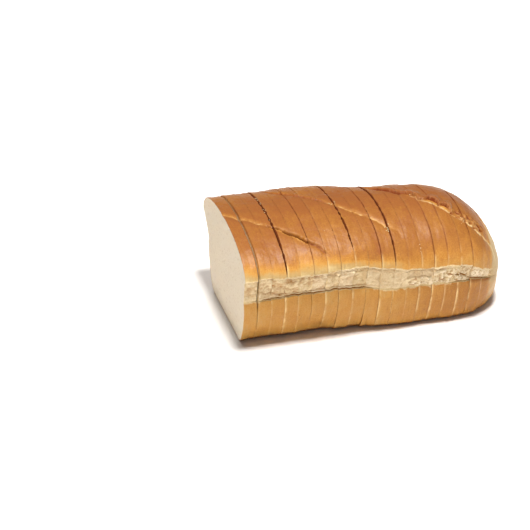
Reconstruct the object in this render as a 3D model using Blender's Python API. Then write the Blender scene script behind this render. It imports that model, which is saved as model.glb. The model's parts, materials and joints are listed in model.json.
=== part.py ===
"""Sliced vienna loaf standing on its flat base, with the cut end towards -X.

Nineteen slices and the heel stand together and keep the loaf's shape. Every piece
is a loft along X between cross-sections of the loaf: a flat base, a low lower crust,
a band of torn crumb along each long side, where the loaf burst in the oven, and a wide
dome with three slanting scores. Metres, +Z up, the viewer's long side towards -Y.
"""
import math
import random

import bpy
from mathutils import Vector, noise

# ---- driving dimensions (metres) ------------------------------------------------
SLICE_COUNT = 19
SLICE_PITCH = 0.01185          # a bakery slicer's blade spacing
KNIFE_GAP = 0.0003             # least gap between two slices
CUT_FACE_X = -0.120            # the open cut end
LOAF_END_X = 0.1275            # tip of the heel
HEEL_X = CUT_FACE_X + SLICE_COUNT * SLICE_PITCH

LOAF_HEIGHT = 0.098
MID_RISE = 0.0032              # a low hump of the dome before the loaf's middle
MID_RISE_X = -0.034
MID_RISE_REACH = 0.038
SCORE_RISE = 0.0015            # the dome stays a little higher past the middle
SCORE_RISE_SPAN = (-0.030, 0.015)
SCORE_RISE_END = (0.035, 0.075)

# Half widths at four levels of the section: the base, the fullest place of the lower
# crust, the back of the burst and the lip of the dome.
NEAR_AT_CUT = {"base": 0.0460, "side": 0.0645, "burst": 0.0615, "lip": 0.0710}
NEAR_AT_MID = {"base": 0.0565, "side": 0.0660, "burst": 0.0630, "lip": 0.0690}
FAR_AT_CUT = {"base": 0.0470, "side": 0.0610, "burst": 0.0540, "lip": 0.0770}
FAR_AT_MID = {"base": 0.0470, "side": 0.0590, "burst": 0.0550, "lip": 0.0650}
NEAR_CHANGE = (-0.060, 0.040)  # along X, from the sizes at the cut to those at the middle
FAR_CHANGE = (-0.080, 0.050)
RIDGE_AT_CUT = 0.003           # the ridge's place across the loaf
RIDGE_AT_MID = -0.004

BURST_BOTTOM_AT_CUT = 0.0465   # heights of the burst's two edges, and where they change
BURST_BOTTOM_AT_MID = 0.0420
BURST_BOTTOM_CHANGE = (-0.030, 0.015)
BURST_BOTTOM_DROP = 0.0035     # the burst sinks again towards the heel
BURST_BOTTOM_SINK = (0.025, 0.070)
BURST_TOP_AT_CUT = 0.0685
BURST_TOP_AT_MID = 0.0580
BURST_TOP_CHANGE = (-0.030, 0.045)
BURST_TOP_DROP = 0.007
BURST_TOP_SINK = (0.070, 0.115)
FAR_BURST_DROP = 0.0095        # on the far side the burst runs lower past the middle
FAR_BURST_SINK = (-0.035, 0.025)
BURST_RELIEF = 0.0012          # unevenness of the torn crumb
BURST_GRAIN = 140.0            # lumps of the torn crumb to a metre
BURST_END = (0.088, 0.120)     # along X, where the burst heals over towards the nose

# The burst gapes along the rim of the lower crust in two spans along X; between them
# the torn crumb stands almost flush with the crust.
GAPING_SPANS = ((-0.110, -0.098, -0.016, -0.004), (0.064, 0.078, 0.102, 0.112))
FLUSH_SHARE = 0.45             # how far the crumb still stands back there
RIM_ROUND = 0.0009             # rounding of the lower crust's rim
CRACK_DEPTH = 0.0018           # the dark crack above that rim
CRACK_UP = 0.0004              # its height over the rim
CRUMB_OUT, CRUMB_UP = 0.0008, 0.0013       # where the torn crumb starts, past the crack
CRUMB_SWELL = 0.0005           # the crumb swells out between its foot and the lip,
SWELL_NEAR, SWELL_HIGH = 0.35, 0.62        # most at these shares of the way
LIP_ROUND = 0.002              # how far the dome's lip overhangs the crumb
LIP_UNDER = 0.001              # the crumb ends this far below the burst's top
LIP_HEIGHT = 0.0015            # height of the lip's roundness above the burst

# The lower crust: flat underside, rounded foot, and a side that swells outwards.
FOOT_INSET = 0.004             # the underside is flat up to here
FOOT_PULL = (0.0005, 0.0002)   # sharpness of the rounded foot
KNEE_OUT, KNEE_UP = 0.35, 0.14
SWELL_OUT, SWELL_UP = 0.92, 0.50
FULL_UP, RIM_START = 0.82, 0.94

# Rounding of the heel: each direction shrinks towards the nose by its own power.
HEEL_ROUND_X = 0.055           # where the loaf starts to close
NOSE_Z = 0.019                 # height of the heel's foremost point
WIDTH_POWER = 3.1
TOP_POWER = 2.05
UNDER_POWER = 8.0

# Scores: start and end in plan, how far the cut bows sideways, its depth and half
# width, and how far its far lip stands up as an ear.
SCORES = (
    {"start": (-0.150, 0.030), "end": (-0.045, -0.068), "bow": 0.0030,
     "depth": 0.0020, "half": 0.0034, "ear": 0.0005},
    {"start": (-0.078, 0.050), "end": (0.022, -0.054), "bow": -0.0045,
     "depth": 0.0020, "half": 0.0034, "ear": 0.0005},
    {"start": (-0.004, 0.047), "end": (0.112, -0.050), "bow": -0.0145,
     "depth": 0.0032, "half": 0.0044, "ear": 0.0016},
)
SCORE_STEPS = 48
SCORE_REACH = 5.0              # a score shapes the dome up to here, in half widths
SCORE_FADE = 6.0               # share of its length over which it fades out, inverted
EAR_PLACE = 1.8                # the ear's distance from the cut, in half widths

# The slices stand in groups: how many, how far their top leans along X so that the
# slices fan open, and how far their dome stands up or down.
GROUPS = ((1, -0.0012, 0.0), (2, -0.0004, 0.0), (5, 0.0, 0.0005), (3, 0.0014, -0.0003),
          (3, 0.0024, 0.0006), (2, 0.0030, 0.0003), (3, 0.0034, 0.0002))
HEEL_LEAN = 0.0034
SLICE_SHIFT = 0.0007           # slices sit a little in and out of line
EDGE_SHIFT = 0.0008            # and the burst's edges step from slice to slice
NO_STEP = {"out": 0.0, "low": 0.0, "high": 0.0, "rise": 0.0}

BASE_POINTS = 3
CORNER_POINTS = 3
SIDE_POINTS = 6
WALL_POINTS = 5
DOME_POINTS = 18
STATIONS_PER_SLICE = 4
HEEL_STATIONS = 9

CRUST_COLOUR = (0.45, 0.19, 0.055)
LOWER_CRUST_COLOUR = (0.56, 0.29, 0.095)
CRUMB_COLOUR = (0.80, 0.70, 0.53)

random.seed(19)


# ---- the loaf's form ------------------------------------------------------------
def ease(start, stop, x):
    """0 before start, 1 after stop, and a smooth step between."""
    t = min(max((x - start) / (stop - start), 0.0), 1.0)
    return t * t * (3.0 - 2.0 * t)


def mix(a, b, t):
    return a + (b - a) * t


def curve(points, count):
    """count points along the quadratic curve of three control points, its end left out."""
    out = []
    for i in range(count):
        t = i / count
        weights = ((1.0 - t) ** 2, 2.0 * t * (1.0 - t), t * t)
        out.append(tuple(sum(w * point[k] for w, point in zip(weights, points)) for k in (0, 1)))
    return out


def closing(x, power):
    """Size of the section against the full loaf, 1 along the body and 0 at the tip."""
    t = min(max((x - HEEL_ROUND_X) / (LOAF_END_X - HEEL_ROUND_X), 0.0), 1.0)
    return math.sqrt(max(1.0 - t ** power, 0.0))


def gaping(x):
    """How far the burst gapes along the lower crust's rim at x, 0 to 1."""
    return max(ease(a, b, x) * (1.0 - ease(c, d, x)) for a, b, c, d in GAPING_SPANS)


def measures(x, step):
    """The section's named sizes at x; step is the slice's own small shift."""
    draw = ease(*FAR_CHANGE, x)
    spread = ease(*NEAR_CHANGE, x)
    swell = math.exp(-((x - MID_RISE_X) / MID_RISE_REACH) ** 2)
    near = {k: mix(NEAR_AT_CUT[k], NEAR_AT_MID[k], spread) + step["out"] for k in NEAR_AT_CUT}
    far = {k: mix(FAR_AT_CUT[k], FAR_AT_MID[k], draw) - step["out"] for k in FAR_AT_CUT}
    low = mix(BURST_BOTTOM_AT_CUT, BURST_BOTTOM_AT_MID, ease(*BURST_BOTTOM_CHANGE, x))
    low -= BURST_BOTTOM_DROP * ease(*BURST_BOTTOM_SINK, x)
    high = mix(BURST_TOP_AT_CUT, BURST_TOP_AT_MID, ease(*BURST_TOP_CHANGE, x))
    high -= BURST_TOP_DROP * ease(*BURST_TOP_SINK, x)
    top = LOAF_HEIGHT + step["rise"] + MID_RISE * swell
    top += SCORE_RISE * (ease(*SCORE_RISE_SPAN, x) - ease(*SCORE_RISE_END, x))
    ridge = mix(RIDGE_AT_CUT, RIDGE_AT_MID, draw)
    opened = 1.0 - ease(*BURST_END, x)
    gape = gaping(x)
    sunk = FAR_BURST_DROP * ease(*FAR_BURST_SINK, x)
    for half, drop in ((near, 0.0), (far, sunk)):
        half["low"] = low + step["low"] - drop
        half["high"] = high + step["high"] - drop
        half["open"] = opened
        half["gape"] = gape
        half["burst"] = mix(half["side"], half["burst"], opened * mix(FLUSH_SHARE, 1.0, gape))
        half["lip"] = mix(half["side"] + 0.5 * LIP_ROUND, half["lip"], opened)
    return near, far, top, ridge


def half_outline(half, top, ridge):
    """Points (out, up) of one side, from the middle of the base to the ridge."""
    low, high, base, side = half["low"], half["high"], half["base"], half["side"]
    opened = half["open"]
    flat = (base - FOOT_INSET, 0.0)
    knee = (mix(base, side, KNEE_OUT), KNEE_UP * low)
    full = (side, FULL_UP * low)
    rim = (side - RIM_ROUND * opened, low)
    crack = (half["burst"] - CRACK_DEPTH * opened * half["gape"], low + CRACK_UP)
    foot = (half["burst"] + CRUMB_OUT * opened, low + CRUMB_UP)
    under_lip = (half["lip"] - LIP_ROUND * opened, high - LIP_UNDER)
    bulge = (mix(foot[0], under_lip[0], SWELL_NEAR) + CRUMB_SWELL, mix(foot[1], under_lip[1], SWELL_HIGH))
    out = [(flat[0] * i / BASE_POINTS, 0.0) for i in range(BASE_POINTS)]
    out += curve([flat, (base + FOOT_PULL[0], FOOT_PULL[1]), knee], CORNER_POINTS)
    out += curve([knee, (mix(base, side, SWELL_OUT), SWELL_UP * low), full], SIDE_POINTS)
    out += [full, (side - 0.3 * RIM_ROUND * opened, RIM_START * low), rim, crack]
    out += curve([foot, bulge, under_lip], WALL_POINTS)
    out.append(under_lip)
    lip_z = high + LIP_HEIGHT
    for i in range(DOME_POINTS):
        angle = 0.5 * math.pi * i / (DOME_POINTS - 1)
        wide = half["lip"] - ridge
        out.append((ridge + wide * math.cos(angle), lip_z + (top - lip_z) * math.sin(angle)))
    return out


WALL_START = BASE_POINTS + CORNER_POINTS + SIDE_POINTS + 4
WALL_STOP = WALL_START + WALL_POINTS + 1
HALF_COUNT = WALL_STOP + DOME_POINTS


def close_in(x, y, z, ridge):
    """Draw a point of the full section in towards the nose of the heel."""
    y = ridge + (y - ridge) * closing(x, WIDTH_POWER)
    power = TOP_POWER if z > NOSE_Z else UNDER_POWER
    return y, NOSE_Z + (z - NOSE_Z) * closing(x, power)


def dome_height(x, y):
    """Height of the unscored dome over a place in plan."""
    near, far, top, ridge = measures(x, NO_STEP)
    y = ridge + (y - ridge) / closing(x, WIDTH_POWER)
    half = far if y > ridge else near
    reach = half["lip"] - ridge if y > ridge else half["lip"] + ridge
    share = min(abs(y - ridge) / reach, 1.0)
    lip_z = half["high"] + LIP_HEIGHT
    z = lip_z + (top - lip_z) * math.sqrt(1.0 - share * share)
    return close_in(x, y, z, ridge)[1]


def score_line(score):
    """Points of a score on the dome, from its far end to its near end."""
    (x0, y0), (x1, y1) = score["start"], score["end"]
    line = []
    for i in range(SCORE_STEPS + 1):
        t = i / SCORE_STEPS
        x = mix(x0, x1, t)
        y = mix(y0, y1, t) + score["bow"] * math.sin(math.pi * t)
        line.append(Vector((x, y, dome_height(x, y))))
    return line


SCORE_LINES = [score_line(score) for score in SCORES]


def score_relief(point):
    """Height that the scores add to the dome at a point, negative in the cut."""
    relief = 0.0
    for score, line in zip(SCORES, SCORE_LINES):
        distance, index = min(((point - other).length, i) for i, other in enumerate(line))
        if distance > SCORE_REACH * score["half"]:
            continue
        fade = min(1.0, SCORE_FADE * (1.0 - index / SCORE_STEPS), SCORE_FADE * index / SCORE_STEPS)
        relief -= fade * score["depth"] * math.exp(-(distance / score["half"]) ** 2)
        if point.y > line[index].y:
            ear = distance / score["half"] - EAR_PLACE
            relief += fade * score["ear"] * math.exp(-ear * ear)
    return relief


def section(x, step):
    """The closed ring of points of the loaf's cross-section at x."""
    near, far, top, ridge = measures(x, step)
    near_side = half_outline(near, top, -ridge)
    far_side = half_outline(far, top, ridge)
    ring = [(-out, up) for out, up in near_side]
    ring += [(out, up) for out, up in far_side[-2:0:-1]]
    ring = [close_in(x, y, z, ridge) for y, z in ring]
    count = len(ring)
    shaped = []
    for i, (y, z) in enumerate(ring):
        (y0, z0), (y1, z1) = ring[i - 1], ring[(i + 1) % count]
        length = math.hypot(y1 - y0, z1 - z0) or 1.0
        normal = ((z0 - z1) / length, (y1 - y0) / length)
        place = i if i < HALF_COUNT else 2 * (HALF_COUNT - 1) - i
        push = 0.0
        if WALL_START < place < WALL_STOP - 1:
            push = BURST_RELIEF * noise.noise(Vector((x, y, z)) * BURST_GRAIN)
        elif place > WALL_STOP:
            push = score_relief(Vector((x, y, z)))
        push *= closing(x, WIDTH_POWER)
        shaped.append((y + push * normal[0], z + push * normal[1]))
    return shaped


# ---- materials ------------------------------------------------------------------
def finish(name, colour, roughness):
    material = bpy.data.materials.new(name)
    material.use_nodes = True
    shader = material.node_tree.nodes["Principled BSDF"]
    shader.inputs["Base Color"].default_value = (*colour, 1.0)
    shader.inputs["Roughness"].default_value = roughness
    shader.inputs["Metallic"].default_value = 0.0
    return material


# ---- the pieces -----------------------------------------------------------------
UPPER, LOWER, CRUMB = 0, 1, 2


def stretch_kind(index):
    """Which of the three materials covers the ring's edge after a point."""
    place = min(index, 2 * (HALF_COUNT - 1) - 1 - index)
    if place < WALL_START - 2:
        return LOWER
    return CRUMB if place < WALL_STOP - 1 else UPPER


def piece(name, stations, lean, step, tip, collection):
    """Loft one slice through its stations along X; the heel closes on a tip."""
    rings = []
    for x in stations:
        rings.append([Vector((x + lean * z / LOAF_HEIGHT, y, z)) for y, z in section(x, step)])
    count = len(rings[0])
    points = [p for ring in rings for p in ring]
    faces = [tuple(range(count))]
    kinds = [CRUMB]
    for j in range(len(rings) - 1):
        for i in range(count):
            k = (i + 1) % count
            faces.append((j * count + i, (j + 1) * count + i, (j + 1) * count + k, j * count + k))
            kinds.append(stretch_kind(i))
    last = (len(rings) - 1) * count
    if tip is None:
        faces.append(tuple(last + i for i in reversed(range(count))))
        kinds.append(CRUMB)
    else:
        points.append(Vector(tip))
        for i in range(count):
            faces.append((last + (i + 1) % count, last + i, len(points) - 1))
            kinds.append(LOWER)
    mesh = bpy.data.meshes.new(name)
    mesh.from_pydata(points, [], faces)
    mesh.materials.append(finish(f"{name}_crust", CRUST_COLOUR, 0.45))
    mesh.materials.append(finish(f"{name}_lower_crust", LOWER_CRUST_COLOUR, 0.6))
    mesh.materials.append(finish(f"{name}_crumb", CRUMB_COLOUR, 0.85))
    for polygon, kind in zip(mesh.polygons, kinds):
        polygon.material_index = kind
    body = bpy.data.objects.new(name, mesh)
    collection.objects.link(body)
    return body


def group_of(index):
    """Lean and rise of a slice, counted from the cut end; the heel comes last."""
    for size, lean, rise in GROUPS:
        if index < size:
            return lean, rise
        index -= size
    return HEEL_LEAN, 0.0


def slice_step(rise):
    """A slice's own small shift out of line."""
    return {"out": random.uniform(-SLICE_SHIFT, SLICE_SHIFT),
            "low": random.uniform(-EDGE_SHIFT, EDGE_SHIFT),
            "high": random.uniform(-EDGE_SHIFT, EDGE_SHIFT),
            "rise": rise}


def build_loaf():
    collection = bpy.data.collections.new("vienna_loaf")
    bpy.context.scene.collection.children.link(collection)
    bodies = []
    for index in range(SLICE_COUNT):
        start = CUT_FACE_X + index * SLICE_PITCH
        first = start + 0.5 * KNIFE_GAP
        last = start + SLICE_PITCH - 0.5 * KNIFE_GAP
        stations = [mix(first, last, i / (STATIONS_PER_SLICE - 1)) for i in range(STATIONS_PER_SLICE)]
        lean, rise = group_of(index)
        bodies.append(piece(f"slice_{index + 1:02d}", stations, lean, slice_step(rise), None, collection))
    first = HEEL_X + 0.5 * KNIFE_GAP
    turns = [0.5 * math.pi * i / HEEL_STATIONS for i in range(HEEL_STATIONS)]
    stations = [mix(first, LOAF_END_X, math.sin(turn)) for turn in turns]
    lean, rise = group_of(SLICE_COUNT)
    tip = (LOAF_END_X + lean * NOSE_Z / LOAF_HEIGHT, RIDGE_AT_MID, NOSE_Z)
    bodies.append(piece("heel", stations, lean, slice_step(rise), tip, collection))
    centre(bodies)


def centre(bodies):
    """Move the loaf so that the middle of its outline in plan is the origin."""
    corners = [vertex.co for body in bodies for vertex in body.data.vertices]
    middle = Vector((0.5 * (min(c.x for c in corners) + max(c.x for c in corners)),
                     0.5 * (min(c.y for c in corners) + max(c.y for c in corners)), 0.0))
    for body in bodies:
        for vertex in body.data.vertices:
            vertex.co -= middle


for leftover in list(bpy.data.objects):
    bpy.data.objects.remove(leftover, do_unlink=True)
build_loaf()
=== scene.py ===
"""The looks of a sliced vienna loaf, standing with its open cut end to the left."""
import itertools
import json
import math
import random
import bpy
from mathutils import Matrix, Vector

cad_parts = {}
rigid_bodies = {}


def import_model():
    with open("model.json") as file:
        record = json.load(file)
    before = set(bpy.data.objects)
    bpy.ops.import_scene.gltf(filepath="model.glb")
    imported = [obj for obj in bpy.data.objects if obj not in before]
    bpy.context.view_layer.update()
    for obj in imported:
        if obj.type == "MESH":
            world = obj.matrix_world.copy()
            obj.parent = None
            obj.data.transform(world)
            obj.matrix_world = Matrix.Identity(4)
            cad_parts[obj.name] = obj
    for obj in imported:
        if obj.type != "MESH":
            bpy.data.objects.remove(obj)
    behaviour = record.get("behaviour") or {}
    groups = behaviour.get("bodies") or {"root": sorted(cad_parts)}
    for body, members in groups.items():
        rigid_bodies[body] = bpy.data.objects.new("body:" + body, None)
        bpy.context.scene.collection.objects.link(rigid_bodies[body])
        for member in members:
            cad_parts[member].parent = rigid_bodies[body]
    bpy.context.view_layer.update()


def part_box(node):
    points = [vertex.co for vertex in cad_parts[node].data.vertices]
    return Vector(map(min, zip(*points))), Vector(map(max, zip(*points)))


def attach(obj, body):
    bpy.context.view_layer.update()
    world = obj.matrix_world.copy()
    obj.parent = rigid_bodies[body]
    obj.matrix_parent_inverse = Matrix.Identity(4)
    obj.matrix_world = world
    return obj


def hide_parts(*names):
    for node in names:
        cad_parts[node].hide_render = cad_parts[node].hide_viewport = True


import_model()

from types import SimpleNamespace

import bmesh
import bpy
import numpy as np
from mathutils import Euler, Matrix, Vector


# ==== The standing slices =========================================================
# Nineteen slices of a yeast loaf, cut about 12 mm thick by a bakery slicer: soft crumb in
# a thin baked crust, with a band of torn crumb along both long sides where the loaf burst
# in the oven. All come from one whole form, so the relief runs on from slice to slice.
SLICE_COUNT = 19
SLICE_PITCH = 0.01185
CUT_FACE_X = -0.12
LOAF_END_X = 0.1275
HEEL_X = CUT_FACE_X + SLICE_COUNT * SLICE_PITCH
LOAF_HEIGHT = 0.098
MID_RISE, MID_RISE_X, MID_RISE_REACH = 0.0032, -0.034, 0.038
SCORE_RISE = 0.0015

# Half widths at four levels: base, fullest lower crust, back of the burst, dome's lip.
NEAR_AT_CUT = {"base": 0.046, "side": 0.0645, "burst": 0.0615, "lip": 0.071}
NEAR_AT_MID = {"base": 0.0565, "side": 0.066, "burst": 0.063, "lip": 0.069}
FAR_AT_CUT = {"base": 0.047, "side": 0.061, "burst": 0.054, "lip": 0.077}
FAR_AT_MID = {"base": 0.047, "side": 0.059, "burst": 0.055, "lip": 0.065}
RIDGE_AT_CUT, RIDGE_AT_MID = 0.003, -0.004
BURST_BOTTOM_AT_CUT, BURST_BOTTOM_AT_MID, BURST_BOTTOM_DROP = 0.0465, 0.042, 0.0035
BURST_TOP_AT_CUT, BURST_TOP_AT_MID, BURST_TOP_DROP = 0.0685, 0.058, 0.007
FAR_BURST_DROP = 0.0095
BURST_END = (0.088, 0.12)
# The burst gapes along the rim of the lower crust between these places; elsewhere it
# stands out nearly to the crust, with this share of its depth left.
GAPING_SPANS = ((-0.11, -0.098, -0.016, -0.004), (0.062, 0.076, 0.099, 0.108))
FLUSH_SHARE = 0.45
CRACK_DEPTH, CRACK_UP, FOOT_OUT, FOOT_UP = 0.0018, 0.0004, 0.0008, 0.0013
FLAT_INSET, KNEE_OUT, KNEE_UP, SIDE_UP, RIM_ROUND = 0.004, 0.35, 0.14, 0.82, 0.0009
SWELL_NEAR, SWELL_HIGH, SWELL_OUT = 0.35, 0.62, 0.0005
UNDER_LIP_IN, UNDER_LIP_DOWN, LIP_UP = 0.002, 0.001, 0.0015
HEEL_ROUND_X = 0.055
NOSE_Z = 0.019
WIDTH_POWER, TOP_POWER, UNDER_POWER = 3.1, 2.05, 8.0

# The slices stand in groups: how many, how far their top leans along X, since the loaf
# fans open, and how far their dome stands up or down.
GROUPS = ((1, -0.0012, 0), (2, -0.0004, 0), (5, 0, 0.0005), (3, 0.0014, -0.0003),
          (3, 0.0024, 0.0006), (2, 0.003, 0.0003), (3, 0.0034, 0.0002))
HEEL_LEAN = 0.0034
SLICE_SHIFT, EDGE_SHIFT = 0.0007, 0.0008

# Points round one half of the section, for each stretch of the outline.
STRETCHES = ("base", "corner", "side", "rim", "crack", "wall", "lip", "dome")
NEAR_POINTS = (8, 10, 58, 10, 12, 52, 14, 180)
FAR_POINTS = (8, 6, 34, 6, 8, 26, 8, 110)
EDGE_STATIONS = (0, 0.00012, 0.00035, 0.0008)      # close together at a knife cut
INNER_STATIONS = 20


def ease(start, stop, x):
    """0 before start, 1 after stop, and a smooth step between."""
    t = np.clip((x - start) / (stop - start), 0, 1)
    return t * t * (3.0 - 2.0 * t)


def span(x, first, full, fading, last):
    """Rises from 0 at first to 1 at full, and falls again from fading to last."""
    return ease(first, full, x) * ease(last, fading, x)


def bell(value, middle, width):
    return np.exp(-((value - middle) / width) ** 2)


def mix(a, b, t):
    return a + (b - a) * t


def closing(x, power):
    """Size of the section against the full loaf, 1 along the body and 0 at the tip."""
    t = np.clip((x - HEEL_ROUND_X) / (LOAF_END_X - HEEL_ROUND_X), 0, 1)
    return np.sqrt(np.maximum(1 - t ** power, 0))


def gape(x):
    """How far the burst gapes along the rim of the lower crust, 0 to 1."""
    return sum(span(x, *places) for places in GAPING_SPANS)


def measures(x, step):
    """The section's named sizes at the stations x."""
    along = np.multiply.outer(x, (1, 0, 0))
    near_change, far_change = ease(-0.06, 0.04, x), ease(-0.08, 0.05, x)
    near = {k: mix(NEAR_AT_CUT[k], NEAR_AT_MID[k], near_change) + step["out"] for k in NEAR_AT_CUT}
    far = {k: mix(FAR_AT_CUT[k], FAR_AT_MID[k], far_change) - step["out"] for k in FAR_AT_CUT}
    low = mix(BURST_BOTTOM_AT_CUT, BURST_BOTTOM_AT_MID, ease(-0.03, 0.015, x))
    low -= BURST_BOTTOM_DROP * ease(0.025, 0.07, x)
    high = mix(BURST_TOP_AT_CUT, BURST_TOP_AT_MID, ease(-0.03, 0.045, x))
    high -= BURST_TOP_DROP * ease(0.07, 0.115, x)
    low = low + 0.0005 * swells(along, 0.0045, 201, 3)
    high = high + 0.0007 * swells(along, 0.01, 203, 3)
    top = step["rise"] + LOAF_HEIGHT + MID_RISE * bell(x, MID_RISE_X, MID_RISE_REACH)
    top += SCORE_RISE * (ease(-0.03, 0.015, x) - ease(0.035, 0.075, x))
    ridge = mix(RIDGE_AT_CUT, RIDGE_AT_MID, far_change)
    sunk = FAR_BURST_DROP * ease(-0.035, 0.025, x)
    for half, drop in ((near, 0), (far, sunk)):
        half["low"] = low + step["low"] - drop
        half["high"] = high + step["high"] - drop
        half["open"] = 1 - ease(*BURST_END, x)
        half["gape"] = gape(x)
        deep = half["open"] * mix(FLUSH_SHARE, 1, half["gape"])
        half["burst"] = mix(half["side"], half["burst"], deep)
        half["lip"] = mix(half["side"] + 0.001, half["lip"], half["open"])
    return near, far, top, ridge


def bow(start, pull, stop, count):
    """count points along a quadratic curve at every station, its end left out."""
    t = np.arange(count) / count
    weights = ((1 - t) ** 2, 2 * t * (1 - t), t * t)
    return [sum(np.multiply.outer(point[k], w) for point, w in zip((start, pull, stop), weights))
            for k in (0, 1)]


def half_outline(half, top, ridge, points):
    """The outline (out, up) of one side at every station, base middle to ridge."""
    low, high, tear, base, side = (half[k] for k in ("low", "high", "open", "base", "side"))
    zero = np.zeros_like(low)
    flat = (base - FLAT_INSET, zero)
    knee = (base + KNEE_OUT * (side - base), KNEE_UP * low)
    full = (side, SIDE_UP * low)
    rim = (side - RIM_ROUND * tear, low)
    crack = (half["burst"] - CRACK_DEPTH * tear * half["gape"], low + CRACK_UP)
    foot = (half["burst"] + FOOT_OUT * tear, low + FOOT_UP)
    under_lip = (half["lip"] - UNDER_LIP_IN * tear, high - UNDER_LIP_DOWN)
    bulge = (mix(foot[0], under_lip[0], SWELL_NEAR) + SWELL_OUT,
             mix(foot[1], under_lip[1], SWELL_HIGH))
    lip = (half["lip"], high + LIP_UP)
    curves = [bow((zero, zero), (0.5 * flat[0], zero), flat, points[0]),
              bow(flat, (base + 0.0005, zero + 0.0002), knee, points[1]),
              bow(knee, (mix(base, side, 0.92), 0.5 * low), full, points[2]),
              bow(full, (side - 0.0002 * tear, low), rim, points[3]),
              bow(rim, crack, foot, points[4]),
              bow(foot, bulge, under_lip, points[5]),
              bow(under_lip, (half["lip"] - 0.0002 * tear, high - 0.0004), lip, points[6])]
    angle = 0.5 * math.pi * np.arange(points[7]) / (points[7] - 1)
    curves.append([ridge[:, None] + np.multiply.outer(half["lip"] - ridge, np.cos(angle)),
                   lip[1][:, None] + np.multiply.outer(top - lip[1], np.sin(angle))])
    return [np.concatenate([curve[k] for curve in curves], axis=1) for k in (0, 1)]


def ring_marks(points):
    """For each point of a half outline: its stretch, and its share of the way along it."""
    shares = [np.arange(n) / n for n in points[:-1]] + [np.arange(points[-1]) / (points[-1] - 1)]
    return np.repeat(np.arange(len(points)), points), np.concatenate(shares)


STRETCH, SHARE = (np.concatenate([near, far[-2:0:-1]])
                  for near, far in zip(ring_marks(NEAR_POINTS), ring_marks(FAR_POINTS)))
ON = SimpleNamespace(**{name: STRETCH == index for index, name in enumerate(STRETCHES)})


def sections(x, step):
    """Points of the loaf's bare form, stations by ring, in the uncut loaf's place."""
    near, far, top, ridge = measures(x, step)
    near_y, near_z = half_outline(near, top, -ridge, NEAR_POINTS)
    far_y, far_z = half_outline(far, top, ridge, FAR_POINTS)
    y = np.concatenate([-near_y, far_y[:, -2:0:-1]], axis=1)
    z = np.concatenate([near_z, far_z[:, -2:0:-1]], axis=1)
    middle = ridge[:, None]
    y = middle + (y - middle) * closing(x, WIDTH_POWER)[:, None]
    above, below = (closing(x, power)[:, None] for power in (TOP_POWER, UNDER_POWER))
    z = NOSE_Z + (z - NOSE_Z) * np.where(z > NOSE_Z, above, below)
    return np.stack([np.broadcast_to(x[:, None], y.shape), y, z], axis=-1)


def outward(points):
    """Unit normals of a lofted grid."""
    round_ring = np.roll(points, -1, axis=1) - np.roll(points, 1, axis=1)
    along = np.gradient(points, axis=0)
    normal = np.cross(along, round_ring)
    return normal / np.maximum(np.linalg.norm(normal, axis=-1, keepdims=True), 1e-12)


# ---- how dough and crust roughen: seeded noise in the loaf's own space
AXIS_PRIMES, SEED_PRIME, STIR = (73856093, 19349663, 83492791), 2654435761, 0xBF58476D1CE4E5B9


def draws(cells, seed):
    """A number from 0 to 1 for each whole-number cell."""
    cells = cells.astype(np.int64).view(np.uint64)
    mixed = np.uint64(seed * SEED_PRIME)
    for axis, prime in enumerate(AXIS_PRIMES):
        mixed = mixed ^ (cells[..., axis] * np.uint64(prime))
    for _ in range(2):
        mixed = (mixed ^ (mixed >> np.uint64(29))) * np.uint64(STIR)
    return (mixed >> np.uint64(40)).astype(float) / float(1 << 24)


def swells(points, size, seed, octaves=1):
    """Smooth noise from -1 to 1 with lumps of about size, and finer ones on top."""
    total, weight = 0.0, 1.0
    for octave in range(octaves):
        place = points / (size * 0.5 ** octave)
        cell = np.floor(place)
        t = place - cell
        t = t * t * t * (t * (6.0 * t - 15.0) + 10.0)
        value = 0.0
        for corner in itertools.product((0, 1), repeat=3):
            share = np.prod(np.where(corner, t, 1 - t), axis=-1)
            value = value + share * draws(cell + corner, seed + 7 * octave)
        total = total + weight * (2.0 * value - 1.0)
        weight *= 0.5
    return total


def pores(points, size, seed, filled, widest=0.62):
    """1 in the middle of scattered round holes and 0 from their rims on."""
    cell = np.floor(points / size)
    deepest = np.zeros(points.shape[:-1])
    for corner in itertools.product((-1, 0, 1), repeat=3):
        other = cell + corner
        place = np.stack([draws(other, seed + k) for k in (1, 2, 3)], axis=-1)
        radius = size * widest * (0.35 + 0.65 * draws(other, seed + 4) ** 2)
        distance = np.linalg.norm(points - (other + place) * size, axis=-1)
        hole = np.clip(1 - distance / radius, 0, 1) * (draws(other, seed + 5) < filled)
        deepest = np.maximum(deepest, hole)
    return deepest


# ---- the scores: three slanting cuts in the dome, made before baking
# Each runs from its far end to its near one, in plan, and ends more or less bluntly. The
# first two are a pale line in one part and a fold over a thin crease in the other; the
# fold's crease is darkened and its ridge paled, as painted shade and painted highlight.
# In each, crease is how far the fold's crease is darkened, as painted shade.
SCORES = {
    "first": {"far": (-0.15, 0.03), "near": (-0.045, -0.068), "bow": 0.003, "kink": 0.0026,
              "blunt": 14.0, "line": (-0.06, -0.068), "fold": (-0.068, -0.058),
              "crease": 0.16, "thin": 0.75},
    "second": {"far": (-0.078, 0.05), "near": (0.022, -0.054), "bow": -0.0045, "kink": 0.0,
               "blunt": 8.0, "line": (-0.036, -0.028), "fold": (-0.027, -0.035),
               "crease": 0.3, "thin": 1.1},
    "third": {"far": (-0.004, 0.047), "near": (0.112, -0.05), "bow": -0.0145, "kink": 0.0,
              "blunt": 8.0},
}
FIRST_SPLIT = (-0.09, -0.085, -0.065, -0.058)    # here the first score split open
SCORE_STEPS = 260
SCORE_REACH = 0.02
WHOLE_LOAF = dict.fromkeys(("out", "low", "high", "rise"), 0)


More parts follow.
